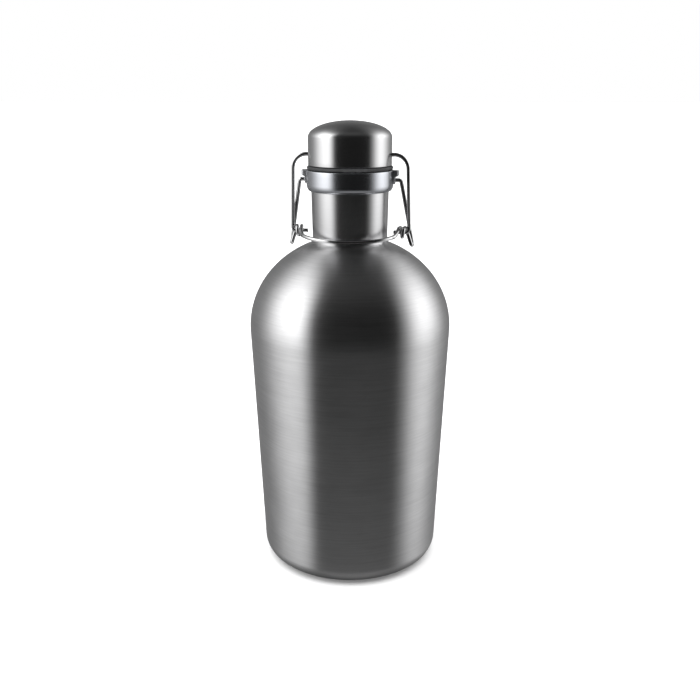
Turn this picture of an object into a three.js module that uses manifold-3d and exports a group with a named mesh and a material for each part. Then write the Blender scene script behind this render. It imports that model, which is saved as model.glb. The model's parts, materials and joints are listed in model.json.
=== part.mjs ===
// Swing-top growler: a single-wall stainless steel bottle with a wire toggle closure.
//
// Units are millimetres and +Z is up. The bottle stands on Z = 0 with its axis on Z.
// The front, where the bail is pulled to open the closure, faces -Y.

import * as THREE from 'three';
import { mergeVertices } from 'three/addons/utils/BufferGeometryUtils.js';
import Module from 'manifold-3d';

const wasm = await Module();
wasm.setup();

// ---------------------------------------------------------------- driving dimensions

// Bottle body
const SHOULDER_RADIUS = 63.5;
const SHOULDER_Z = 156;
const SHOULDER_RISE = 57;
const BASE_RADIUS = 57.5;
const BASE_CORNER = 11;
const LIP_RADIUS = 43;
const BODY_WALL = 0.6;
const NECK_FOOT_RADIUS = 23.2;
const NECK_FOOT_BLEND = 25.6;
const NECK_WELD_Z = 212;

// Raised bottom
const PAN_RADIUS = 47.6;
const PAN_STEP_RADIUS = 42;
const PAN_DOME_RADIUS = 38.6;
const PAN_STEP_RISE = 3.2;
const PAN_DOME_RISE = 2.8;

// Neck, mouth and collar
const NECK_TOP_RADIUS = 23.8;
const NECK_WALL = 0.8;
const COLLAR_BOTTOM = 240.7;
const COLLAR_ROUND_Z = 245;
const COLLAR_RADIUS = 26.6;
const COLLAR_BORE = 24.2;
const RIM_Z = 253.4;
const RIM_THICKNESS = 4.3;
const MOUTH_RADIUS = 20.5;
const MOUTH_SKIRT_Z = 243;
const EDGE_ROUND = 0.7;

// Closure wires and their three axes, all parallel to X
const WIRE_RADIUS = 1.2;
const EAR_AXIS = { y: 0, z: 247.4 };
const EYE_AXIS = { y: 2, z: 215.4 };
const CAP_AXIS = { y: 0, z: 262.4 };

// Ears: a lug on each side of the collar, with a thinner plate below it that has the pivot hole
const EAR_PLATE = 0.9;
const EAR_INNER = 26.9;
const EAR_OUTER = 29.9;
const EAR_TOP = 253.2;
const EAR_HALF_WIDTH = 3.2;
const EAR_BOTTOM = 244.9;
const EAR_LUG_Z = 249.4;
const PIVOT_HOLE_RADIUS = 1.4;

// Lever wire
const LEVER_END_X = 27.1;
const ARM_TOP_X = 31.2;
const FOOT_X = 38.6;
const FOOT_Y = 8;
const FOOT_WIDTH = 2.9;
const FOOT_Z = 206.9;
const EYE_RADIUS = 2.75;
const EYE_OUTER_X = 34.3;
const EYE_PITCH = 2.9;
const BAIL_HALF_WIDTH = 31;
const BAIL_REACH = 25.3;
const BAIL_Z = 212.8;

// Cap wire
const YOKE_PIN_X = 26.8;
const YOKE_FOOT_X = 36.6;
const YOKE_TOP_X = 35.3;
const YOKE_SHOULDER_BEND = 8.5;

// Cap
const CAP_BOTTOM = 256;
const CAP_RADIUS = 25.5;
const CAP_DOME_Z = 272.6;
const CAP_DOME_RISE = 9.8;
const CAP_WALL = 0.8;
const CORE_TOP = 270;
const CORE_BOSS_RADIUS = 13;
const CORE_BOSS_Z = 252.2;
const GASKET_RADIUS = 26.3;
const CAP_HOLE_RADIUS = 1.6;
const CORE_BORE_RADIUS = 1.4;

// Clear space left between pieces that are welded, pressed or seated together
const GAP = 0.3;

// Fineness of the meshes
const TURN_SEGMENTS = 40;
const WIRE_SIDES = 10;
const BEND_STEP = THREE.MathUtils.degToRad(22);

// ---------------------------------------------------------------- materials

function metal(color, roughness) {
  return new THREE.MeshStandardMaterial({ color, roughness, metalness: 1 });
}

const brushedSteel = () => metal(0xb4b4b6, 0.38);
const satinSteel = () => metal(0xbcbcbe, 0.28);
const polishedSteel = () => metal(0xc6c9ce, 0.12);
const wireSteel = () => metal(0xc0c0c2, 0.2);
const corePlastic = () => new THREE.MeshStandardMaterial({ color: 0x2b2b2d, roughness: 0.5, metalness: 0 });
const gasketRubber = () => new THREE.MeshStandardMaterial({ color: 0x37383a, roughness: 0.7, metalness: 0 });

// ---------------------------------------------------------------- shared shape helpers

const point = (radius, z) => new THREE.Vector2(radius, z);

// Points on a quarter or any other stretch of an ellipse, from one angle to another.
function arc(centre, radiusX, radiusZ, fromAngle, toAngle, steps) {
  const points = [];
  for (let i = 0; i <= steps; i += 1) {
    const angle = fromAngle + (toAngle - fromAngle) * i / steps;
    points.push(point(centre.x + radiusX * Math.cos(angle), centre.y + radiusZ * Math.sin(angle)));
  }
  return points;
}

// The same outline moved sideways by a wall's thickness, to the left of its direction of travel.
function offsetOutline(outline, distance) {
  return outline.map((here, i) => {
    const before = outline[Math.max(i - 1, 0)];
    const after = outline[Math.min(i + 1, outline.length - 1)];
    const first = here.clone().sub(before).normalize();
    const second = after.clone().sub(here).normalize();
    const along = first.add(second).normalize();
    const lean = i > 0 && i < outline.length - 1 ? along.dot(second) : 1;
    return point(here.x - along.y * distance / lean, here.y + along.x * distance / lean);
  });
}

// A sheet-metal wall: the outer outline, then the inner one back, closed on itself.
function sheetOutline(outer, wall) {
  const inner = offsetOutline(outer, wall).reverse();
  return [...outer, ...inner, outer[0].clone()];
}

// Turns an outline about Z. The outline runs anticlockwise with the radius to the right, Z up.
function turned(outline) {
  return new THREE.LatheGeometry(outline, TURN_SEGMENTS).rotateX(Math.PI / 2);
}

function rodAlongX(radius, fromX, toX, axis) {
  const rod = new THREE.CylinderGeometry(radius, radius, toX - fromX, 20);
  return rod.rotateZ(-Math.PI / 2).translate((fromX + toX) / 2, axis.y, axis.z);
}

function toSolid(geometry) {
  const bare = geometry.clone();
  bare.deleteAttribute('normal');
  bare.deleteAttribute('uv');
  const merged = mergeVertices(bare);
  const corners = merged.index.array;
  const kept = [];
  for (let i = 0; i < corners.length; i += 3) {
    const [a, b, c] = [corners[i], corners[i + 1], corners[i + 2]];
    if (a !== b && b !== c && c !== a) kept.push(a, b, c);
  }
  const vertProperties = new Float32Array(merged.attributes.position.array);
  const triVerts = new Uint32Array(kept);
  return new wasm.Manifold(new wasm.Mesh({ numProp: 3, vertProperties, triVerts }));
}

function toGeometry(solid) {
  const mesh = solid.getMesh();
  const geometry = new THREE.BufferGeometry();
  geometry.setAttribute('position', new THREE.BufferAttribute(mesh.vertProperties, 3));
  geometry.setIndex(new THREE.BufferAttribute(mesh.triVerts, 1));
  geometry.computeVertexNormals();
  return geometry;
}

function piece(name, geometry, material) {
  const mesh = new THREE.Mesh(geometry, material);
  mesh.name = name;
  return mesh;
}

// ---------------------------------------------------------------- wire bending

// A route through stations, one mesh ring at each.
class WirePath extends THREE.Curve {
  constructor(stations) {
    super();
    this.stations = stations;
  }

  getPoint(t, target = new THREE.Vector3()) {
    const place = THREE.MathUtils.clamp(t, 0, 1) * (this.stations.length - 1);
    const index = Math.min(Math.floor(place), this.stations.length - 2);
    return target.lerpVectors(this.stations[index], this.stations[index + 1], place - index);
  }

  getUtoTmapping(u) {
    return u;
  }
}

const corner = (x, y, z, bend) => ({ at: new THREE.Vector3(x, y, z), bend });
const mirrored = ({ at, bend }) => corner(-at.x, at.y, at.z, bend);

// Stations along straight runs whose corners are bent to a radius, as a wire is formed.
function bentRoute(corners) {
  const stations = [corners[0].at];
  for (let i = 1; i < corners.length - 1; i += 1) {
    const { at, bend } = corners[i];
    const back = corners[i - 1].at.clone().sub(at).normalize();
    const onward = corners[i + 1].at.clone().sub(at).normalize();
    const halfAngle = back.angleTo(onward) / 2;
    const turn = Math.PI - 2 * halfAngle;
    const reach = bend / Math.tan(halfAngle);
    const centre = back.clone().add(onward).normalize().multiplyScalar(bend / Math.sin(halfAngle)).add(at);
    const fromCentre = back.clone().multiplyScalar(reach).add(at).sub(centre);
    const toCentre = onward.clone().multiplyScalar(reach).add(at).sub(centre);
    const steps = Math.max(1, Math.ceil(turn / BEND_STEP));
    for (let j = 0; j <= steps; j += 1) {
      const share = j / steps;
      const start = fromCentre.clone().multiplyScalar(Math.sin((1 - share) * turn) / Math.sin(turn));
      const end = toCentre.clone().multiplyScalar(Math.sin(share * turn) / Math.sin(turn));
      stations.push(start.add(end).add(centre));
    }
  }
  stations.push(corners[corners.length - 1].at);
  return stations;
}

function wireAlong(corners) {
  const stations = bentRoute(corners);
  const section = new THREE.Shape();
  section.absarc(0, 0, WIRE_RADIUS, 0, 2 * Math.PI);
  return new THREE.ExtrudeGeometry(section, {
    steps: stations.length - 1,
    curveSegments: WIRE_SIDES / 2,
    extrudePath: new WirePath(stations),
  });
}

// ---------------------------------------------------------------- bottle

// Standing lip, rolled corner, tapered side, elliptical shoulder and the foot of the neck.
function bodyShell() {
  const taper = Math.atan2(SHOULDER_RADIUS - BASE_RADIUS, SHOULDER_Z - BASE_CORNER);
  const shoulderStart = -Math.atan(Math.tan(taper) * SHOULDER_RISE / SHOULDER_RADIUS);
  const shoulderEnd = Math.acos(NECK_FOOT_BLEND / SHOULDER_RADIUS);
  const cornerCentre = point(BASE_RADIUS - BASE_CORNER, BASE_CORNER);
  const corner = arc(cornerCentre, BASE_CORNER, BASE_CORNER, -Math.PI / 2, -taper, 4);
  const shoulder = arc(
    point(0, SHOULDER_Z), SHOULDER_RADIUS, SHOULDER_RISE, shoulderStart, shoulderEnd, 12);
  const blendStart = shoulder[shoulder.length - 1];
  const slope = SHOULDER_RISE / SHOULDER_RADIUS / Math.tan(shoulderEnd);
  const blendCorner = point(NECK_FOOT_RADIUS, blendStart.y + (blendStart.x - NECK_FOOT_RADIUS) * slope);
  const blendTop = point(NECK_FOOT_RADIUS, blendCorner.y + (blendStart.x - NECK_FOOT_RADIUS) * 0.8);
  const blend = new THREE.QuadraticBezierCurve(blendStart, blendCorner, blendTop).getPoints(3);
  const outer = [
    point(LIP_RADIUS, 0),
    ...corner,
    ...shoulder,
    ...blend.slice(1),
    point(NECK_FOOT_RADIUS, NECK_WELD_Z),
  ];
  return turned(sheetOutline(outer, BODY_WALL));
}

// A pressed disc with a flat rim, a step and a shallow dome, so that liquid drains to the edge.
function basePan() {
  const under = BODY_WALL + GAP;
  const step = new THREE.CubicBezierCurve(
    point(PAN_STEP_RADIUS, under),
    point(PAN_STEP_RADIUS - 2, under),
    point(PAN_DOME_RADIUS + 2, under + PAN_STEP_RISE),
    point(PAN_DOME_RADIUS, under + PAN_STEP_RISE));
  const dome = arc(point(0, under + PAN_STEP_RISE), PAN_DOME_RADIUS, PAN_DOME_RISE, 0.12, Math.PI / 2, 4);
  const lower = [point(PAN_RADIUS, under), ...step.getPoints(5), ...dome];
  lower[lower.length - 1].x = 0;
  const upper = lower.map((place) => point(place.x, place.y + BODY_WALL));
  return turned([...lower.reverse(), ...upper]);
}

function neckTube() {
  const bottom = NECK_WELD_Z + GAP;
  const top = RIM_Z - RIM_THICKNESS - GAP;
  const outer = [
    point(NECK_FOOT_RADIUS, bottom),
    point(NECK_TOP_RADIUS, COLLAR_BOTTOM),
    point(NECK_TOP_RADIUS, top),
  ];
  return turned(sheetOutline(outer, NECK_WALL));
}

// The turned mouth: a flange with a flat sealing face, and a skirt that fits inside the neck.
function mouthRing() {
  const flange = COLLAR_BORE - GAP;
  const skirt = NECK_TOP_RADIUS - NECK_WALL - GAP;
  const flangeBottom = RIM_Z - RIM_THICKNESS;
  const outline = [
    point(MOUTH_RADIUS, MOUTH_SKIRT_Z),
    point(skirt, MOUTH_SKIRT_Z),
    point(skirt, flangeBottom),
    point(flange, flangeBottom),
    ...arc(point(flange - EDGE_ROUND, RIM_Z - EDGE_ROUND), EDGE_ROUND, EDGE_ROUND, 0, Math.PI / 2, 3),
    ...arc(
      point(MOUTH_RADIUS + EDGE_ROUND, RIM_Z - EDGE_ROUND), EDGE_ROUND, EDGE_ROUND, Math.PI / 2, Math.PI, 3),
    point(MOUTH_RADIUS, MOUTH_SKIRT_Z),
  ];
  return turned(outline);
}

// The band round the neck: a straight side that rounds in to the neck at its foot.
function collarRing() {
  const foot = arc(
    point(COLLAR_BORE, COLLAR_ROUND_Z), COLLAR_RADIUS - COLLAR_BORE, COLLAR_ROUND_Z - COLLAR_BOTTOM,
    -Math.PI * 0.42, 0, 5);
  const topEdge = arc(
    point(COLLAR_RADIUS - EDGE_ROUND, RIM_Z - EDGE_ROUND), EDGE_ROUND, EDGE_ROUND, 0, Math.PI / 2, 3);
  return turned([
    point(COLLAR_BORE, COLLAR_BOTTOM),
    ...foot,
    ...topEdge,
    point(COLLAR_BORE, RIM_Z),
    point(COLLAR_BORE, COLLAR_BOTTOM),
  ]);
}

// One ear, made for the right side: a lug above, and a plate with the pivot hole and a rounded foot.
function ear() {
  const round = 0.6;
  const section = new THREE.Shape();
  section.moveTo(EAR_INNER, EAR_BOTTOM);
  section.lineTo(EAR_INNER + EAR_PLATE, EAR_BOTTOM);
  section.lineTo(EAR_INNER + EAR_PLATE, EAR_LUG_Z);
  section.lineTo(EAR_OUTER, EAR_LUG_Z + round);
  section.absarc(EAR_OUTER - round, EAR_TOP - round, round, 0, Math.PI / 2);
  section.lineTo(EAR_INNER, EAR_TOP);
  const strip = new THREE.ExtrudeGeometry(section, {
    depth: 2 * EAR_HALF_WIDTH, curveSegments: 3, bevelEnabled: false });
  strip.rotateX(Math.PI / 2).translate(0, EAR_HALF_WIDTH, 0);

  const side = new THREE.Shape();
  side.moveTo(EAR_HALF_WIDTH, EAR_TOP + 1);
  side.lineTo(-EAR_HALF_WIDTH, EAR_TOP + 1);
  side.absarc(0, EAR_BOTTOM + EAR_HALF_WIDTH, EAR_HALF_WIDTH, Math.PI, 2 * Math.PI);
  const outline = new THREE.ExtrudeGeometry(side, { depth: 10, curveSegments: 6, bevelEnabled: false });
  outline.rotateX(Math.PI / 2).rotateZ(Math.PI / 2).translate(EAR_INNER - 3, 0, 0);

  const hole = rodAlongX(PIVOT_HOLE_RADIUS, EAR_INNER - 0.5, EAR_INNER + EAR_PLATE + 0.5, EAR_AXIS);
  return toGeometry(toSolid(strip).intersect(toSolid(outline)).subtract(toSolid(hole)));
}

// ---------------------------------------------------------------- closure

// Right half from the pivot end: arm, foot, a turn and a quarter round the cap wire's pin, then the
// bail. The arm passes behind the cap wire, so that the two can fold away from each other.
function leverWire() {
  const front = EYE_AXIS.y - EYE_RADIUS;
  const rear = EYE_AXIS.y + EYE_RADIUS;
  const top = EYE_AXIS.z + EYE_RADIUS;
  const bottom = EYE_AXIS.z - EYE_RADIUS;
  const half = [
    corner(LEVER_END_X, EAR_AXIS.y, EAR_AXIS.z, 0),
    corner(ARM_TOP_X, EAR_AXIS.y, EAR_AXIS.z, 1.8),
    corner(FOOT_X, FOOT_Y, FOOT_Z, 1.5),
    corner(FOOT_X - 0.6, FOOT_Y - FOOT_WIDTH, FOOT_Z, 1.4),
    corner(EYE_OUTER_X, rear, top, 2.4),
    corner(EYE_OUTER_X - EYE_PITCH * 0.35, front, top, 2.4),
    corner(EYE_OUTER_X - EYE_PITCH * 0.55, front, bottom, 2.4),
    corner(EYE_OUTER_X - EYE_PITCH * 0.8, rear, bottom, 2.4),
    corner(EYE_OUTER_X - EYE_PITCH, rear, top, 2.4),
    corner(EYE_OUTER_X - EYE_PITCH * 1.35, front, top, 1.9),
  ];
  const bail = [];
  const bailSteps = 16;
  const bailStart = Math.PI * 0.1;
  for (let i = 0; i <= bailSteps; i += 1) {
    const angle = bailStart + (Math.PI - 2 * bailStart) * i / bailSteps;
    const z = BAIL_Z + (EYE_AXIS.z - BAIL_Z) * (1 - Math.sin(angle));
    bail.push(corner(BAIL_HALF_WIDTH * Math.cos(angle), -BAIL_REACH * Math.sin(angle), z, 20));
  }
  return wireAlong([...half, ...bail, ...half.map(mirrored).reverse()]);
}

// The yoke: a pin in each eye, an arm up each side and the cross rod through the cap.
function capWire() {
  const half = [
    corner(YOKE_PIN_X, EYE_AXIS.y, EYE_AXIS.z, 0),
    corner(YOKE_FOOT_X, EYE_AXIS.y, EYE_AXIS.z, 2.4),
    corner(YOKE_TOP_X, CAP_AXIS.y, CAP_AXIS.z, YOKE_SHOULDER_BEND),
  ];
  return wireAlong([...half, ...half.map(mirrored).reverse()]);
}

function capDome(radius, rise) {
  return arc(point(0, CAP_DOME_Z), radius, rise, 0, Math.PI / 2, 8);
}

// The drawn steel cap, with a hole at each side for the cap wire.
function capShell() {
  const outer = [point(CAP_RADIUS, CAP_BOTTOM), ...capDome(CAP_RADIUS, CAP_DOME_RISE)];
  const inner = [
    point(CAP_RADIUS - CAP_WALL, CAP_BOTTOM), ...capDome(CAP_RADIUS - CAP_WALL, CAP_DOME_RISE - CAP_WALL)];
  outer[outer.length - 1].x = 0;
  inner[inner.length - 1].x = 0;
  const dome = turned([...inner.reverse(), ...outer]);
  const wireHole = rodAlongX(CAP_HOLE_RADIUS, -CAP_RADIUS - 1, CAP_RADIUS + 1, CAP_AXIS);
  return toGeometry(toSolid(dome).subtract(toSolid(wireHole)));
}

// The moulded core: a plug that fills the cap, a cross bore, and a boss for the gasket.
function capCore() {
  const radius = CAP_RADIUS - CAP_WALL - GAP;
  const plug = turned([
    point(0, CORE_BOSS_Z),
    point(CORE_BOSS_RADIUS - EDGE_ROUND, CORE_BOSS_Z),
    point(CORE_BOSS_RADIUS, CORE_BOSS_Z + EDGE_ROUND),
    point(CORE_BOSS_RADIUS, CAP_BOTTOM),
    point(radius, CAP_BOTTOM),
    point(radius, CORE_TOP - 2),
    point(radius - 2, CORE_TOP),
    point(0, CORE_TOP),
  ]);
  const bore = rodAlongX(CORE_BORE_RADIUS, -CAP_RADIUS - 1, CAP_RADIUS + 1, CAP_AXIS);
  return toGeometry(toSolid(plug).subtract(toSolid(bore)));
}

// A flat ring stretched over the boss, with rounded outer edges.
function capGasket() {
  const bottom = RIM_Z + GAP;
  const top = CAP_BOTTOM - GAP;
  const bore = CORE_BOSS_RADIUS + GAP;
  const round = (top - bottom) / 2;
  return turned([
    point(bore, bottom),
    ...arc(point(GASKET_RADIUS - round, bottom + round), round, round, -Math.PI / 2, Math.PI / 2, 6),
    point(bore, top),
    point(bore, bottom),
  ]);
}

// ---------------------------------------------------------------- assembly

const bottle = new THREE.Group();
bottle.name = 'bottle';
bottle.add(piece('body_shell', bodyShell(), brushedSteel()));
bottle.add(piece('base_pan', basePan(), brushedSteel()));
bottle.add(piece('neck_tube', neckTube(), satinSteel()));
bottle.add(piece('mouth_ring', mouthRing(), satinSteel()));
bottle.add(piece('collar_ring', collarRing(), polishedSteel()));

const rightEar = piece('right_ear', ear(), polishedSteel());
const leftEar = piece('left_ear', ear(), polishedSteel());
leftEar.rotation.z = Math.PI;
bottle.add(rightEar, leftEar);

const closure = new THREE.Group();
closure.name = 'closure';
closure.add(piece('lever_wire', leverWire(), wireSteel()));
closure.add(piece('cap_wire', capWire(), wireSteel()));

const cap = new THREE.Group();
cap.name = 'cap';
cap.add(piece('cap_shell', capShell(), satinSteel()));
cap.add(piece('cap_core', capCore(), corePlastic()));
cap.add(piece('cap_gasket', capGasket(), gasketRubber()));
closure.add(cap);

const growler = new THREE.Group();
growler.name = 'growler';
growler.add(bottle, closure);

export default growler;
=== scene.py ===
"""Looks of a stainless steel swing-top growler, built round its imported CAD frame.

Outlines and wire routes are in millimetres: (radius, height) or (x, y, z). Meshes are in metres.
"""
import json
import math

import bmesh
import bpy
import numpy as np
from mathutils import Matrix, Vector


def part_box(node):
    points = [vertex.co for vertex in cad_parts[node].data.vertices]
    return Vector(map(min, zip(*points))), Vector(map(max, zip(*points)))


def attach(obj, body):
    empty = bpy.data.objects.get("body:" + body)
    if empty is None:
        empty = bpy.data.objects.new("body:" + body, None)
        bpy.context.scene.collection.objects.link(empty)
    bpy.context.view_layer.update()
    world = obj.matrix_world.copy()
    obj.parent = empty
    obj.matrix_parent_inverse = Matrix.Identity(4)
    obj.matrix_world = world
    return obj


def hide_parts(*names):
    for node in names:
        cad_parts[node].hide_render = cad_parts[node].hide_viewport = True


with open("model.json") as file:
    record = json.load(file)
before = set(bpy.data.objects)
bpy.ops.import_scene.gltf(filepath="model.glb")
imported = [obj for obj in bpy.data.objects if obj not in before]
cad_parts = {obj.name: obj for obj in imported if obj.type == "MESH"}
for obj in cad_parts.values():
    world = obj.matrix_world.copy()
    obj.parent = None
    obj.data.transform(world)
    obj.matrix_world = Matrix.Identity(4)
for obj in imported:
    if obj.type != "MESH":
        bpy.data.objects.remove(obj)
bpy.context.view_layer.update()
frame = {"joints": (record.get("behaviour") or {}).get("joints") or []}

MM = 0.001


# ------------------------------------------------------------------ sizes taken from the frame

def low(node):
    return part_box(node)[0] / MM


def high(node):
    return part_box(node)[1] / MM


joint_at = {joint["name"]: Vector(joint["pos_m"]) / MM for joint in frame["joints"]}
EAR_AXIS = joint_at["lever_pivot"]
EYE_AXIS = joint_at["yoke_pivot"]
CAP_AXIS = joint_at["cap_pivot"]

BODY_RADIUS = high("body_shell").x
NECK_WELD_Z = high("body_shell").z
PAN_RADIUS = high("base_pan").x
PAN_BOTTOM = low("base_pan").z
NECK_TOP_RADIUS = high("neck_tube").x
NECK_TOP_Z = high("neck_tube").z
RIM_Z = high("mouth_ring").z
MOUTH_SKIRT_Z = low("mouth_ring").z
COLLAR_RADIUS = high("collar_ring").x
COLLAR_BOTTOM = low("collar_ring").z
EAR_INNER = low("right_ear").x
EAR_OUTER = high("right_ear").x
EAR_TOP = high("right_ear").z
EAR_BOTTOM = low("right_ear").z
EAR_HALF_WIDTH = high("right_ear").y
CAP_RADIUS = high("cap_shell").x
CAP_BOTTOM = low("cap_shell").z
CAP_TOP = high("cap_shell").z
CORE_BOSS_Z = low("cap_core").z
CORE_TOP = high("cap_core").z
GASKET_RADIUS = high("cap_gasket").x
GASKET_BOTTOM = low("cap_gasket").z
GASKET_TOP = high("cap_gasket").z

# ------------------------------------------------------------------ other sizes, millimetres

SHOULDER_Z = 156
SHOULDER_RISE = 57
BASE_RADIUS = 57.5
BASE_CORNER = 11
LIP_RADIUS = 43
SHEET = 0.6
NECK_FOOT_RADIUS = 23.2
NECK_FOOT_BLEND = 25.6
PAN_STEP_RADIUS = 42
PAN_DOME_RADIUS = 38.6
PAN_STEP_RISE = 3.2
PAN_DOME_RISE = 2.8
NECK_WALL = 0.8
COLLAR_ROUND_Z = 245
COLLAR_BORE = 24.2
RIM_THICKNESS = 4.3
MOUTH_RADIUS = 20.5
CAP_DOME_RISE = 9.8
CAP_WALL = 0.8
CAP_HOLE = 1.6
CORE_BOSS_RADIUS = 13
CORE_BORE = 1.4
EAR_PLATE = 0.9
EAR_LUG_Z = 249.4
EAR_HOLE = 1.4
EAR_EDGE = 0.5
WIRE_RADIUS = 1.2
WIRE_END_EDGE = 0.4
EYE_RADIUS = 2.75
ARM_TOP_X = 31.2
FOOT_X = 38.6
FOOT_Y = 8
FOOT_WIDTH = 2.9
FOOT_Z = 206.9
BAIL_HALF_WIDTH = 31
BAIL_REACH = 25.3
BAIL_Z = 212.8
YOKE_PIN_X = 26.8
YOKE_FOOT_X = 36.6
YOKE_TOP_X = 35.3
YOKE_SHOULDER_BEND = 8.5
GRAIN_RADIUS = 0.03

# Degrees: an edge sharper than this is shaded as a crease.
CREASE = 32
WIRE_CREASE = 50


# ------------------------------------------------------------------ outlines and routes

def arc(centre, radius_x, radius_z, start, end, steps):
    """Points along part of an ellipse, with the angles in degrees."""
    angles = [math.radians(start + (end - start) * i / steps) for i in range(steps + 1)]
    return [(centre[0] + radius_x * math.cos(a), centre[1] + radius_z * math.sin(a)) for a in angles]


def curve(controls, steps):
    """Points along a Bezier curve through any number of control points."""
    points = []
    for i in range(steps + 1):
        level = [Vector(c) for c in controls]
        while len(level) > 1:
            level = [a.lerp(b, i / steps) for a, b in zip(level, level[1:])]
        points.append(tuple(level[0]))
    return points


def line(a, b, steps):
    """Points from a to b, without a itself."""
    return [tuple(Vector(a).lerp(Vector(b), i / steps)) for i in range(1, steps + 1)]


def bent_route(corners, bend_step=7):
    """Stations along straight runs (x, y, z, bend) whose corners are bent to a radius."""
    stations = [Vector(corners[0][:3])]
    for i in range(1, len(corners) - 1):
        at = Vector(corners[i][:3])
        bend = corners[i][3]
        back = (Vector(corners[i - 1][:3]) - at).normalized()
        onward = (Vector(corners[i + 1][:3]) - at).normalized()
        half_angle = back.angle(onward) / 2
        turn = math.pi - 2 * half_angle
        if bend == 0 or turn < 1e-4:
            stations.append(at)
            continue
        centre = at + (back + onward).normalized() * bend / math.sin(half_angle)
        reach = bend / math.tan(half_angle)
        start = at + back * reach - centre
        end = at + onward * reach - centre
        steps = max(2, math.ceil(math.degrees(turn) / bend_step - 1e-4))
        for j in range(steps + 1):
            share = j / steps
            stations.append(centre + (start * math.sin((1 - share) * turn) + end * math.sin(share * turn))
                            / math.sin(turn))
    stations.append(Vector(corners[-1][:3]))
    return [s for i, s in enumerate(stations) if i == 0 or (s - stations[i - 1]).length > 1e-3]


def section(*corners, closed=True):
    """Outline through (radius, height, rounding) corners. A closed one starts on its last side."""
    route = [(r, 0, z, bend) for r, z, bend in corners]
    if closed:
        middle = ((corners[0][0] + corners[-1][0]) / 2, 0, (corners[0][1] + corners[-1][1]) / 2, 0)
        route = [middle, *route, middle]
    points = [(p.x, p.z) for p in bent_route(route, 18)]
    return points[:-1] if closed else points


def sheet_outline(outer, wall):
    """Closed outline of a sheet wall that lies to the left of its outer outline."""
    inner = []
    for i, here in enumerate(outer):
        along = (Vector(outer[min(i + 1, len(outer) - 1)]) - Vector(outer[max(i - 1, 0)])).normalized()
        inner.append((here[0] - along.y * wall, here[1] + along.x * wall))
    return outer + inner[::-1]


# ------------------------------------------------------------------ meshes

def finished(name, work, crease=CREASE):
    """Turns a bmesh in millimetres into an object in metres, shaded smooth but for its creases."""
    bmesh.ops.scale(work, vec=(MM, MM, MM), verts=work.verts)
    bmesh.ops.recalc_face_normals(work, faces=work.faces)
    mesh = bpy.data.meshes.new(name)
    work.to_mesh(mesh)
    work.free()
    mesh.shade_smooth()
    mesh.set_sharp_from_angle(angle=math.radians(crease))
    made = bpy.data.objects.new(name, mesh)
    bpy.context.scene.collection.objects.link(made)
    return made


def set_grain(piece, grain):
    """Stores, for each vertex, where it lies in the metal's grain. Materials read it as 'grain'."""
    layer = piece.data.attributes.new("grain", "FLOAT_VECTOR", "POINT")
    layer.data.foreach_set("vector", np.asarray(grain, np.float32).ravel())


def vertex_array(piece):
    places = np.zeros(len(piece.data.vertices) * 3, np.float32)
    piece.data.vertices.foreach_get("co", places)
    return places.reshape(-1, 3)


def grain_along(piece, outline):
    """Grain of a turned piece: round the axis in x and y, and along its outline in z."""
    places = vertex_array(piece)
    outline = np.array(outline) * MM
    lengths = np.concatenate([[0], np.cumsum(np.linalg.norm(np.diff(outline, axis=0), axis=1))])
    radius = np.linalg.norm(places[:, :2], axis=1)
    gaps = (radius[:, None] - outline[:, 0]) ** 2 + (places[:, 2][:, None] - outline[:, 1]) ** 2
    around = places[:, :2] / np.maximum(radius, 1e-6)[:, None] * GRAIN_RADIUS
    set_grain(piece, np.column_stack([around, lengths[gaps.argmin(1)]]))


def turned(name, outline, closed=True, segments=192, cutters=()):
    """Turns an outline about Z, then cuts the cutters out of it."""
    work = bmesh.new()
    rings = []
    for radius, z in outline:
        if radius < 1e-6:
            rings.append([work.verts.new((0, 0, z))] * segments)
            continue
        angles = [2 * math.pi * j / segments for j in range(segments)]
        rings.append([work.verts.new((radius * math.cos(a), radius * math.sin(a), z)) for a in angles])
    for below, above in zip(rings, rings[1:] + rings[:1] if closed else rings[1:]):
        for j in range(segments):
            k = (j + 1) % segments
            corners = list(dict.fromkeys([below[j], below[k], above[k], above[j]]))
            if len(corners) > 2:
                work.faces.new(corners)
    piece = finished(name, work)
    for cutter in cutters:
        cut(piece, cutter)
    grain_along(piece, outline)
    return piece


def cut(piece, cutter):
    """Takes the cutter's solid out of the piece and removes the cutter."""
    modifier = piece.modifiers.new("cut", "BOOLEAN")
    modifier.operation = "DIFFERENCE"
    modifier.solver = "EXACT"
    modifier.object = cutter
    bpy.context.view_layer.update()
    evaluated = piece.evaluated_get(bpy.context.evaluated_depsgraph_get())
    mesh = bpy.data.meshes.new_from_object(evaluated)
    piece.modifiers.clear()
    piece.data = mesh
    mesh.shade_smooth()
    mesh.set_sharp_from_angle(angle=math.radians(CREASE))
    bpy.data.objects.remove(cutter)


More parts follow.
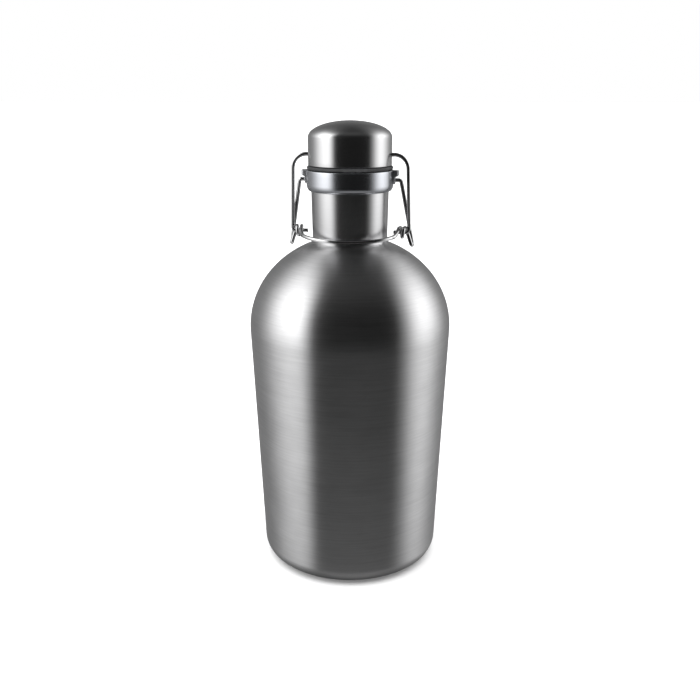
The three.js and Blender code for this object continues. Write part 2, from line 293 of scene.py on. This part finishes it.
def swept(name, stations, sides=24):
    """A round bar through stations of (place, radius), closed at both ends."""
    places = [place for place, _ in stations]
    work = bmesh.new()
    rings = []
    grain = []
    travelled = 0
    across = None
    for i, (place, radius) in enumerate(stations):
        tangent = (places[min(i + 1, len(places) - 1)] - places[max(i - 1, 0)]).normalized()
        if across is None:
            across = tangent.orthogonal()
        across = (across - tangent * across.dot(tangent)).normalized()
        third = tangent.cross(across)
        travelled += (place - places[max(i - 1, 0)]).length
        ring = []
        for j in range(sides):
            a = 2 * math.pi * j / sides
            ring.append(work.verts.new(place + radius * (across * math.cos(a) + third * math.sin(a))))
            grain.append((math.cos(a) * WIRE_RADIUS * MM, math.sin(a) * WIRE_RADIUS * MM, travelled * MM))
        rings.append(ring)
    for below, above in zip(rings, rings[1:]):
        for j in range(sides):
            k = (j + 1) % sides
            work.faces.new([below[j], below[k], above[k], above[j]])
    work.faces.new(rings[0][::-1])
    work.faces.new(rings[-1])
    piece = finished(name, work, WIRE_CREASE)
    set_grain(piece, grain)
    return piece


def wire(name, half):
    """A bent wire from its right half's corners, with softened cut ends."""
    route = bent_route([*half, *[(-x, y, z, bend) for x, y, z, bend in half[::-1]]])
    soften = WIRE_END_EDGE
    stations = [(place, WIRE_RADIUS) for place in route[1:-1]]
    for end, inward, index in ((route[0], route[1], 0), (route[-1], route[-2], len(route))):
        along = (inward - end).normalized()
        rounded = []
        for angle in (90, 65, 40, 20, 0):
            turn = math.radians(angle)
            rounded.append((end + along * soften * (1 - math.sin(turn)),
                            WIRE_RADIUS - soften * (1 - math.cos(turn))))
        stations = rounded + stations if index == 0 else stations + rounded[::-1]
    return swept(name, stations)


# ------------------------------------------------------------------ the bottle

def body_shell():
    """Standing lip, rolled lower corner, tapered side, domed shoulder and the foot of the neck."""
    taper = math.atan2(BODY_RADIUS - BASE_RADIUS, SHOULDER_Z - BASE_CORNER)
    corner = arc((BASE_RADIUS - BASE_CORNER, BASE_CORNER), BASE_CORNER, BASE_CORNER,
                 -90, -math.degrees(taper), 18)
    start = -math.degrees(math.atan(math.tan(taper) * SHOULDER_RISE / BODY_RADIUS))
    end = math.degrees(math.acos(NECK_FOOT_BLEND / BODY_RADIUS))
    shoulder = arc((0, SHOULDER_Z), BODY_RADIUS, SHOULDER_RISE, start, end, 56)
    blend_start = shoulder[-1]
    run = blend_start[0] - NECK_FOOT_RADIUS
    slope = SHOULDER_RISE / BODY_RADIUS / math.tan(math.radians(end))
    blend_corner = (NECK_FOOT_RADIUS, blend_start[1] + run * slope)
    blend = curve([blend_start, blend_corner, (NECK_FOOT_RADIUS, blend_corner[1] + run * 0.8)], 12)
    outer = [
        (LIP_RADIUS, 0), *line((LIP_RADIUS, 0), corner[0], 3), *corner[1:],
        *line(corner[-1], shoulder[0], 24), *shoulder[1:], *blend[1:],
        *line(blend[-1], (NECK_FOOT_RADIUS, NECK_WELD_Z - 0.15), 4), (NECK_FOOT_RADIUS - 0.15, NECK_WELD_Z)]
    return turned("brushed_body_shell", sheet_outline(outer, SHEET))


def base_pan():
    """The pressed bottom: flat rim, step and shallow dome."""
    step = curve([(PAN_STEP_RADIUS, PAN_BOTTOM), (PAN_STEP_RADIUS - 2, PAN_BOTTOM),
                  (PAN_DOME_RADIUS + 2, PAN_BOTTOM + PAN_STEP_RISE),
                  (PAN_DOME_RADIUS, PAN_BOTTOM + PAN_STEP_RISE)], 14)
    dome = arc((0, PAN_BOTTOM + PAN_STEP_RISE), PAN_DOME_RADIUS, PAN_DOME_RISE, 4, 90, 22)
    lower = [(PAN_RADIUS, PAN_BOTTOM), *line((PAN_RADIUS, PAN_BOTTOM), step[0], 4), *step[1:], *dome[:-1],
             (0, dome[-1][1])]
    upper = [(radius, z + SHEET) for radius, z in lower]
    return turned("dished_base", [*lower[::-1], *upper], closed=False)


def base_weld():
    """The bead that joins the rolled lip to the raised bottom, seen from below."""
    bead = arc((LIP_RADIUS - 0.35, 0.45), 0.75, 0.42, -180, 180, 20)[:-1]
    return turned("base_weld", bead)


def neck_tube():
    """The satin neck: a straight foot that widens a little up to the collar."""
    foot = NECK_WELD_Z + 0.05
    return turned("satin_neck", section(
        (NECK_FOOT_RADIUS - NECK_WALL, foot, 0), (NECK_FOOT_RADIUS, foot, 0.15),
        (NECK_TOP_RADIUS, COLLAR_BOTTOM, 4), (NECK_TOP_RADIUS, NECK_TOP_Z, 0),
        (NECK_TOP_RADIUS - NECK_WALL, NECK_TOP_Z, 0), (NECK_TOP_RADIUS - NECK_WALL, COLLAR_BOTTOM, 4)))


def mouth_ring():
    """The turned mouth: a flat sealing face and a skirt inside the neck."""
    skirt = NECK_TOP_RADIUS - NECK_WALL - 0.05
    flange = COLLAR_BORE - 0.08
    shelf = RIM_Z - RIM_THICKNESS
    return turned("turned_mouth", section(
        (MOUTH_RADIUS, MOUTH_SKIRT_Z, 0.5), (skirt, MOUTH_SKIRT_Z, 0.2), (skirt, shelf, 0),
        (flange, shelf, 0), (flange, RIM_Z, 0.25), (MOUTH_RADIUS, RIM_Z, 0.9)))


def collar_ring():
    """The polished band: a straight side with a rounded top edge, rounding in at its foot."""
    depth = COLLAR_ROUND_Z - COLLAR_BOTTOM
    foot = arc((COLLAR_BORE, COLLAR_ROUND_Z), COLLAR_RADIUS - COLLAR_BORE, depth, -76, 0, 14)
    top = arc((COLLAR_RADIUS - 0.8, RIM_Z - 0.8), 0.8, 0.8, 0, 90, 8)
    return turned("polished_collar", [
        (NECK_TOP_RADIUS + 0.05, COLLAR_BOTTOM + 0.1), *foot, *line(foot[-1], top[0], 3), *top[1:],
        (COLLAR_BORE + 0.25, RIM_Z), (COLLAR_BORE, RIM_Z - 0.25), (COLLAR_BORE, COLLAR_ROUND_Z)])


def ear(name, side):
    """A lug on the collar's side, and below it a thinner plate with the pivot hole and a rounded foot."""
    foot_centre = EAR_BOTTOM + EAR_HALF_WIDTH
    foot = [foot_centre - EAR_HALF_WIDTH * math.cos(math.radians(angle))
            for angle in (12, 20, 30, 40, 50, 60, 75, 90)]
    plate = EAR_INNER + EAR_PLATE
    levels = [(z, plate, math.sqrt(EAR_HALF_WIDTH ** 2 - (foot_centre - z) ** 2)) for z in foot]
    levels += [(EAR_LUG_Z + rise, outer, EAR_HALF_WIDTH) for rise, outer in (
        (-0.4, plate), (-0.1, plate + 0.1), (0.2, EAR_OUTER - 0.9), (0.45, EAR_OUTER - 0.3),
        (0.9, EAR_OUTER))]
    for angle in (0, 22, 45, 67, 90):
        inset = EAR_EDGE * (1 - math.cos(math.radians(angle)))
        levels.append((EAR_TOP - EAR_EDGE + EAR_EDGE * math.sin(math.radians(angle)), EAR_OUTER - inset,
                       EAR_HALF_WIDTH - inset))
    work = bmesh.new()
    rings = []
    for z, outer, half in levels:
        corner = min(half * 0.5, (outer - EAR_INNER) * 0.45)
        outline = section((outer, -half, corner), (outer, half, corner), (EAR_INNER, half, 0.1),
                          (EAR_INNER, -half, 0.1))
        ring = []
        for x, y in outline:
            near_collar = min(1, max(0, (outer - 0.1 - x) / (outer - 0.1 - EAR_INNER)))
            wrap = EAR_INNER - math.sqrt(COLLAR_RADIUS ** 2 - y ** 2)
            ring.append(work.verts.new((x - near_collar * wrap, y, z)))
        rings.append(ring)
    for below, above in zip(rings, rings[1:]):
        for j in range(len(below)):
            k = (j + 1) % len(below)
            work.faces.new([below[j], below[k], above[k], above[j]])
    work.faces.new(rings[0][::-1])
    work.faces.new(rings[-1])
    piece = finished(name, work)
    hole = swept("hole", [(Vector((x, EAR_AXIS.y, EAR_AXIS.z)), radius) for x, radius in (
        (EAR_INNER, EAR_HOLE), (plate - 0.2, EAR_HOLE), (plate + 0.4, EAR_HOLE + 0.6))])
    cut(piece, hole)
    if side < 0:
        for vertex in piece.data.vertices:
            vertex.co.x *= -1
        piece.data.flip_normals()
    set_grain(piece, vertex_array(piece))
    return piece


# ------------------------------------------------------------------ the closure

def lever_wire():
    """Pivot end, arm behind the cap wire, foot, a turn and a quarter round the eye, then the bail."""
    front = EYE_AXIS.y - EYE_RADIUS
    rear = EYE_AXIS.y + EYE_RADIUS
    top = EYE_AXIS.z + EYE_RADIUS
    bottom = EYE_AXIS.z - EYE_RADIUS
    half = [
        (EAR_INNER + 0.2, EAR_AXIS.y, EAR_AXIS.z, 0), (ARM_TOP_X, EAR_AXIS.y, EAR_AXIS.z, 1.8),
        (FOOT_X, FOOT_Y, FOOT_Z, 1.5), (FOOT_X - 0.6, FOOT_Y - FOOT_WIDTH, FOOT_Z, 1.4),
        (34.3, rear, top, 2.4), (33.3, front, top, 2.4), (32.7, front, bottom, 2.4),
        (32, rear, bottom, 2.4), (31.4, rear, top, 2.4), (30.4, front, top, 1.9)]
    steps = 16
    for i in range(steps // 2 + 1):
        angle = math.pi * (0.1 + 0.8 * i / steps)
        z = BAIL_Z + (EYE_AXIS.z - BAIL_Z) * (1 - math.sin(angle))
        half.append((BAIL_HALF_WIDTH * math.cos(angle), -BAIL_REACH * math.sin(angle), z, 20))
    half[-1] = (0.5, *half[-1][1:])
    return wire("lever_and_bail", half)


def cap_wire():
    """A pin in each eye, an arm up each side, and the cross rod through the cap."""
    return wire("cap_yoke", [
        (YOKE_PIN_X, EYE_AXIS.y, EYE_AXIS.z, 0), (YOKE_FOOT_X, EYE_AXIS.y, EYE_AXIS.z, 2.4),
        (YOKE_TOP_X, CAP_AXIS.y, CAP_AXIS.z, YOKE_SHOULDER_BEND), (10, CAP_AXIS.y, CAP_AXIS.z, 0)])


def cross_bore(radius, flare):
    """A cutter along X at the cap's axis, widening towards the cap's side."""
    reach = CAP_RADIUS + 2
    stations = [(-reach, radius + flare), (-CAP_RADIUS + 0.3, radius), (CAP_RADIUS - 0.3, radius),
                (reach, radius + flare)]
    return swept("bore", [(Vector((x, CAP_AXIS.y, CAP_AXIS.z)), size) for x, size in stations])


def cap_shell():
    """The drawn cap: a curled lower edge, a straight side and a low dome."""
    dome_z = CAP_TOP - CAP_DOME_RISE
    inner_radius = CAP_RADIUS - CAP_WALL
    outer = [*line((CAP_RADIUS, CAP_BOTTOM + 0.4), (CAP_RADIUS, dome_z), 6)[:-1],
             *arc((0, dome_z), CAP_RADIUS, CAP_DOME_RISE, 0, 90, 36)[:-1], (0, CAP_TOP)]
    inner = [*arc((0, dome_z), inner_radius, CAP_DOME_RISE - CAP_WALL, 0, 90, 24)[:-1],
             (0, CAP_TOP - CAP_WALL)]
    edge = arc((CAP_RADIUS - CAP_WALL / 2, CAP_BOTTOM + 0.4), CAP_WALL / 2, 0.4, -180, 0, 10)
    outline = [*inner[::-1], *edge, *outer]
    return turned("domed_cap", outline, closed=False, cutters=[cross_bore(CAP_HOLE, 0.6)])


def cap_core():
    """The moulded plug: seat, retaining lip for the seal, and a dished face with its moulding gate."""
    radius = CAP_RADIUS - CAP_WALL - 0.1
    boss = CORE_BOSS_RADIUS
    outline = section(
        (0, CORE_BOSS_Z + 1.5, 0), (1.5, CORE_BOSS_Z + 1.5, 0.2), (1.9, CORE_BOSS_Z + 0.9, 0.2),
        (8.6, CORE_BOSS_Z + 0.9, 0.4), (9.4, CORE_BOSS_Z, 0.4), (boss + 0.6, CORE_BOSS_Z, 0.5),
        (boss + 0.6, CORE_BOSS_Z + 1, 0.3), (boss, CORE_BOSS_Z + 1.4, 0.3), (boss, CAP_BOTTOM, 0.2),
        (radius, CAP_BOTTOM, 0.4), (radius, CORE_TOP - 2, 0.5), (radius - 2, CORE_TOP, 0.5),
        (0, CORE_TOP, 0), closed=False)
    return turned("cap_plug", outline, closed=False, cutters=[cross_bore(CORE_BORE, 0)])


def cap_gasket():
    """The seal: rounded outside, with two raised sealing beads on its lower face."""
    middle = (GASKET_BOTTOM + GASKET_TOP) / 2
    half = (GASKET_TOP - GASKET_BOTTOM) / 2
    bore = CORE_BOSS_RADIUS + 0.1
    face = GASKET_BOTTOM + 0.35
    lower = [(bore, face)]
    for centre in (MOUTH_RADIUS + 0.9, MOUTH_RADIUS + 2.9):
        lower += [(centre - 0.9, face), *arc((centre, face), 0.6, 0.35, -180, 0, 8), (centre + 0.9, face)]
    rim = arc((GASKET_RADIUS - half * 0.8, middle), half * 0.8, half, -66, 90, 12)
    return turned("cap_seal", [*lower, *rim, (bore, GASKET_TOP)])


# ------------------------------------------------------------------ material nodes

def add(tree, kind, inputs=None, **settings):
    """Adds a node. An input is a plain value or another node's output socket."""
    made = tree.nodes.new(kind)
    for key, value in settings.items():
        setattr(made, key, value)
    for key, value in (inputs or {}).items():
        if isinstance(value, bpy.types.NodeSocket):
            tree.links.new(value, made.inputs[key])
        else:
            made.inputs[key].default_value = value
    return made


def maths(tree, operation, *values):
    return add(tree, "ShaderNodeMath", dict(enumerate(values)), operation=operation).outputs[0]


def remap(tree, value, in_low, in_high, out_low, out_high, smooth=False):
    """Rescales a value, held inside its new range."""
    inputs = {"Value": value, "From Min": in_low, "From Max": in_high,
              "To Min": out_low, "To Max": out_high}
    kind = "SMOOTHSTEP" if smooth else "LINEAR"
    return add(tree, "ShaderNodeMapRange", inputs, interpolation_type=kind).outputs["Result"]


def noise(tree, vector, stretch, detail=2.0, roughness=0.5):
    """Noise with the wanted number of lumps per metre along each direction."""
    scaled = add(tree, "ShaderNodeVectorMath", {0: vector, 1: stretch}, operation="MULTIPLY").outputs[0]
    return add(tree, "ShaderNodeTexNoise", {
        "Vector": scaled, "Scale": 1.0, "Detail": detail, "Roughness": roughness}).outputs["Fac"]


def blank(name):
    """A new material with nothing but its output and a principled shader."""
    material = bpy.data.materials.new(name)
    material.use_nodes = True
    tree = material.node_tree
    tree.nodes.clear()
    shader = add(tree, "ShaderNodeBsdfPrincipled")
    output = add(tree, "ShaderNodeOutputMaterial")
    tree.links.new(shader.outputs["BSDF"], output.inputs["Surface"])
    return material, tree, shader


def steel(name, color, roughness, fine, coarse, scatter, tint, depth, anisotropy=0.0, patch=0.02,
          crown=0.0):
    """Bare steel with brushed or drawn grain.

    fine and coarse are lumps per metre along the grain's axes. scatter is how far the grain moves the
    roughness, patch how far larger clouds move it, tint how far the grain moves the brightness, and
    crown how much rougher the top of the shoulder is.
    """
    material, tree, shader = blank(name)
    grain = add(tree, "ShaderNodeAttribute", attribute_name="grain").outputs["Vector"]
    place = add(tree, "ShaderNodeTexCoord").outputs["Object"]
    fine_lines = noise(tree, grain, fine, 3.0, 0.65)
    coarse_lines = noise(tree, grain, coarse, 2.0, 0.55)
    lines = maths(tree, "ADD", maths(tree, "MULTIPLY", fine_lines, 0.6),
                  maths(tree, "MULTIPLY", coarse_lines, 0.4))
    clouds = noise(tree, place, (45.0, 45.0, 45.0), 3.0, 0.6)
    shade = maths(tree, "ADD", remap(tree, lines, 0.3, 0.7, 1 - tint, 1 + tint),
                  remap(tree, clouds, 0.3, 0.7, -tint * 0.4, tint * 0.4))
    tinted = add(tree, "ShaderNodeVectorMath", {0: color, "Scale": shade}, operation="SCALE").outputs[0]
    tree.links.new(tinted, shader.inputs["Base Color"])
    spread = maths(tree, "ADD", remap(tree, lines, 0.3, 0.7, roughness - scatter, roughness + scatter),
                   remap(tree, clouds, 0.3, 0.7, -patch, patch))
    if crown:
        height = add(tree, "ShaderNodeSeparateXYZ", {0: place}).outputs["Z"]
        rise = remap(tree, height, (NECK_WELD_Z - 40) * MM, (NECK_WELD_Z - 14) * MM,
                     0.0, crown, smooth=True)
        fall = remap(tree, height, (NECK_WELD_Z - 6) * MM, (NECK_WELD_Z - 2.5) * MM,
                     0.0, crown, smooth=True)
        spread = maths(tree, "SUBTRACT", maths(tree, "ADD", spread, rise), fall)
    tree.links.new(spread, shader.inputs["Roughness"])
    bump = add(tree, "ShaderNodeBump", {"Height": lines, "Distance": depth, "Strength": 1.0})
    tree.links.new(bump.outputs["Normal"], shader.inputs["Normal"])
    shader.inputs["Metallic"].default_value = 1.0
    if anisotropy:
        shader.inputs["Anisotropic"].default_value = anisotropy
        shader.inputs["Anisotropic Rotation"].default_value = 0.25
        tangent = add(tree, "ShaderNodeTangent", direction_type="RADIAL", axis="Z")
        tree.links.new(tangent.outputs[0], shader.inputs["Tangent"])
    return material


def moulded(name, color, roughness, lumps, depth, wear):
    """Moulded rubber or plastic: a fine skin texture, uneven gloss and a little dust."""
    material, tree, shader = blank(name)
    place = add(tree, "ShaderNodeTexCoord").outputs["Object"]
    skin = noise(tree, place, (lumps, lumps, lumps), 3.0, 0.6)
    clouds = noise(tree, place, (160.0, 160.0, 160.0), 3.0, 0.6)
    shade = maths(tree, "ADD", remap(tree, clouds, 0.35, 0.7, 1 - wear, 1 + wear),
                  remap(tree, skin, 0.3, 0.7, -wear * 0.3, wear * 0.3))
    tinted = add(tree, "ShaderNodeVectorMath", {0: color, "Scale": shade}, operation="SCALE").outputs[0]
    tree.links.new(tinted, shader.inputs["Base Color"])
    gloss = remap(tree, clouds, 0.3, 0.7, roughness - 0.08, roughness + 0.08)
    tree.links.new(gloss, shader.inputs["Roughness"])
    bump = add(tree, "ShaderNodeBump", {"Height": skin, "Distance": depth, "Strength": 1.0})
    tree.links.new(bump.outputs["Normal"], shader.inputs["Normal"])
    shader.inputs["Specular IOR Level"].default_value = 0.4
    return material


materials = {
    "brushed_body": steel("brushed_body", (0.60, 0.60, 0.605), 0.315, (150, 150, 5200), (40, 40, 900),
                          0.02, 0.11, 1.0e-6, anisotropy=0.8, patch=0.008, crown=0.06),
    "satin_neck": steel("satin_neck", (0.62, 0.62, 0.625), 0.30, (120, 120, 6000), (30, 30, 1200),
                        0.01, 0.04, 3e-7, anisotropy=0.6, patch=0.006),
    "satin_cap": steel("satin_cap", (0.62, 0.62, 0.625), 0.24, (120, 120, 6000), (30, 30, 1200),
                       0.015, 0.02, 2e-7, anisotropy=0.4, patch=0.01),
    "polished_collar": steel("polished_collar", (0.60, 0.615, 0.65), 0.25, (80, 80, 2500), (40, 40, 500),
                             0.02, 0.012, 3e-7),
    "satin_ears": steel("satin_ears", (0.66, 0.67, 0.69), 0.5, (400, 400, 3000), (60, 60, 500),
                        0.04, 0.05, 8e-7),
    "bright_wire": steel("bright_wire", (0.66, 0.66, 0.665), 0.14, (6000, 6000, 150), (1500, 1500, 60),
                         0.04, 0.08, 1e-6),
    "core_plastic": moulded("core_plastic", (0.030, 0.030, 0.032), 0.42, 2500.0, 6e-6, 0.25),
    "gasket_rubber": moulded("gasket_rubber", (0.045, 0.046, 0.048), 0.6, 3500.0, 1.2e-5, 0.3),
}

# ------------------------------------------------------------------ assembly

right_ear = ear("right_lever_bracket", 1)
left_ear = ear("left_lever_bracket", -1)
pieces = [
    (body_shell(), "bottle", "brushed_body", "body_shell"),
    (base_pan(), "bottle", "brushed_body", "base_pan"),
    (base_weld(), "bottle", "brushed_body", None),
    (neck_tube(), "bottle", "satin_neck", "neck_tube"),
    (mouth_ring(), "bottle", "satin_neck", "mouth_ring"),
    (collar_ring(), "bottle", "polished_collar", "collar_ring"),
    (right_ear, "bottle", "polished_collar", "right_ear"),
    (left_ear, "bottle", "polished_collar", "left_ear"),
    (lever_wire(), "lever", "bright_wire", "lever_wire"),
    (cap_wire(), "yoke", "bright_wire", "cap_wire"),
    (cap_shell(), "cap", "satin_cap", "cap_shell"),
    (cap_core(), "cap", "core_plastic", "cap_core"),
    (cap_gasket(), "cap", "gasket_rubber", "cap_gasket"),
]
for piece, body, slot, node in pieces:
    piece.data.materials.clear()
    piece.data.materials.append(materials["satin_ears" if piece in (right_ear, left_ear) else slot])
    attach(piece, body)
    if node:
        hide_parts(node)

# ------------------------------------------------------------------ floor, light and camera

FLOOR_HALF = 30.0
LAMP_POWER = 4.4
LAMP_SPREAD = math.radians(80)
CAMERA_TURN = math.radians(8)
CAMERA_TILT = math.radians(16.76)
CAMERA_REACH = 0.527
CAMERA_HEIGHT = 0.2973
CAMERA_LENS = 43.7

# Azimuths run from the front, positive to the right. Elevations run from straight down to straight up.
PANEL_POWER = 2.5
PANEL_LEAN = 0.3
LEFT_PANEL = [(-150, 0.0), (-135, 0.04), (-120, 0.12), (-105, 0.36), (-90, 0.74), (-75, 1.0), (-58, 1.0),
              (-50, 0.5), (-42, 0.0)]
LEFT_HEIGHTS = [(-60, 0.06), (-48, 0.1), (-40, 0.14), (-32, 0.27), (-24, 0.35), (-16, 0.5), (-8, 0.63),
                (0, 0.77), (8, 0.87), (24, 1.0), (40, 0.97), (48, 0.84), (56, 0.46), (64, 0.17), (72, 0.05),
                (90, 0.02)]
RIGHT_PANEL = [(54, 0.0), (66, 0.25), (76, 0.68), (88, 1.0), (100, 0.95), (112, 0.62), (124, 0.3),
               (136, 0.1), (150, 0.0)]
RIGHT_HEIGHTS = [(-60, 0.06), (-40, 0.13), (-32, 0.25), (-24, 0.35), (-16, 0.5), (-8, 0.62),
                 (0, 0.72), (8, 0.84), (24, 0.84), (32, 0.72), (40, 0.5), (48, 0.28), (56, 0.1),
                 (64, 0.04), (72, 0.02)]
FRONT_ROOM = [(-150, 0.0), (-50, 1.0), (60, 1.0), (150, 0.0)]
FRONT_HEIGHTS = [(-90, 0.25), (-60, 0.25), (-48, 0.28), (-42, 0.3), (-38, 0.22), (-35, 0.12), (-32, 0.04),
                 (-28, 0.008), (-24, 0.004), (-14, 0.012), (40, 0.02), (60, 0.06), (75, 0.08), (90, 0.07)]
BACK_HEIGHTS = [(-60, 0.06), (-44, 0.09), (-34, 0.19), (-28, 0.25), (0, 0.25), (15, 0.22), (25, 0.18),
                (35, 0.12), (45, 0.08), (60, 0.045), (90, 0.05)]


def pale_floor():
    """A plain pale floor that takes the contact shadow and shows in no reflection."""
    work = bmesh.new()
    bmesh.ops.create_grid(work, x_segments=8, y_segments=8, size=FLOOR_HALF / MM)
    made = finished("floor", work)
    material, tree, shader = blank("pale_floor")
    place = add(tree, "ShaderNodeTexCoord").outputs["Object"]
    mottle = noise(tree, place, (9.0, 9.0, 9.0), 2.0, 0.5)
    shade = remap(tree, mottle, 0.3, 0.7, 0.88, 0.9)
    white = add(tree, "ShaderNodeVectorMath", {0: (1.0, 1.0, 1.0), "Scale": shade},
                operation="SCALE").outputs[0]
    tree.links.new(white, shader.inputs["Base Color"])
    shader.inputs["Roughness"].default_value = 0.9
    shader.inputs["Specular IOR Level"].default_value = 0.0
    shader.inputs["Emission Color"].default_value = (1, 1, 1, 1)
    shader.inputs["Emission Strength"].default_value = 0.12
    made.data.materials.append(material)
    made.visible_glossy = False


def studio():
    """A white room, darker in front, with a tall soft panel at each side of the camera."""
    world = bpy.data.worlds.new("studio")
    bpy.context.scene.world = world
    world.use_nodes = True
    tree = world.node_tree
    tree.nodes.clear()
    direction = add(tree, "ShaderNodeTexCoord").outputs["Generated"]
    turned_room = add(tree, "ShaderNodeVectorRotate", {"Vector": direction, "Angle": -CAMERA_TURN},
                      rotation_type="Z_AXIS").outputs[0]
    across, away, up = add(tree, "ShaderNodeSeparateXYZ", {0: turned_room}).outputs
    azimuth = maths(tree, "ARCTAN2", across, maths(tree, "MULTIPLY", away, -1.0))
    elevation = maths(tree, "ARCSINE", up)
    lean = remap(tree, elevation, 0.0, math.pi / 2, 1.0, 1 - PANEL_LEAN)
    leaning = maths(tree, "MULTIPLY", azimuth, lean)

    def along(value, *stops):
        """Straight lines through (degrees, brightness) stops, held flat beyond the end ones."""
        first, last = stops[0][0], stops[-1][0]
        place = remap(tree, value, math.radians(first), math.radians(last), 0.0, 1.0)
        ramp = add(tree, "ShaderNodeValToRGB", {"Fac": place})
        points = ramp.color_ramp.elements
        for point, (_, level) in ((points[0], stops[0]), (points[-1], stops[-1])):
            point.color = (level, level, level, 1)
        for degrees, level in stops[1:-1]:
            points.new((degrees - first) / (last - first)).color = (level, level, level, 1)
        return ramp.outputs["Color"]

    left = along(leaning, *LEFT_PANEL)
    right = along(leaning, *RIGHT_PANEL)
    front = along(azimuth, *FRONT_ROOM)
    left_light = maths(tree, "MULTIPLY", left, along(elevation, *LEFT_HEIGHTS))
    right_light = maths(tree, "MULTIPLY", right, along(elevation, *RIGHT_HEIGHTS))
    panels = maths(tree, "MULTIPLY", maths(tree, "ADD", left_light, right_light), PANEL_POWER)
    room = add(tree, "ShaderNodeMix", {"Factor": front, "A": along(elevation, *BACK_HEIGHTS),
                                       "B": along(elevation, *FRONT_HEIGHTS)}).outputs["Result"]
    open_room = maths(tree, "SUBTRACT", maths(tree, "SUBTRACT", 1.0, left), right)
    total = maths(tree, "ADD", panels, maths(tree, "MULTIPLY", room, open_room))
    to_camera = add(tree, "ShaderNodeLightPath").outputs["Is Camera Ray"]
    painted = add(tree, "ShaderNodeBackground", {"Color": total, "Strength": 1.0})
    white = add(tree, "ShaderNodeBackground", {"Color": (1, 1, 1, 1), "Strength": 1.0})
    mixed = add(tree, "ShaderNodeMixShader", {0: to_camera, 1: painted.outputs[0], 2: white.outputs[0]})
    output = add(tree, "ShaderNodeOutputWorld")
    tree.links.new(mixed.outputs[0], output.inputs["Surface"])


def lamp():
    """A broad overhead light for the soft shadow on the floor."""
    data = bpy.data.lights.new("overhead", "SUN")
    data.energy = LAMP_POWER
    data.angle = LAMP_SPREAD
    made = bpy.data.objects.new("overhead", data)
    made.visible_glossy = False
    bpy.context.scene.collection.objects.link(made)


def camera():
    data = bpy.data.cameras.new("camera")
    data.sensor_width = 36
    data.lens = CAMERA_LENS
    data.clip_end = 200
    made = bpy.data.objects.new("camera", data)
    made.location = (CAMERA_REACH * math.sin(CAMERA_TURN), -CAMERA_REACH * math.cos(CAMERA_TURN),
                     CAMERA_HEIGHT)
    made.rotation_euler = (math.pi / 2 - CAMERA_TILT, 0, CAMERA_TURN)
    bpy.context.scene.collection.objects.link(made)
    bpy.context.scene.camera = made


pale_floor()
studio()
lamp()
camera()
bpy.context.scene.view_settings.view_transform = "Standard"
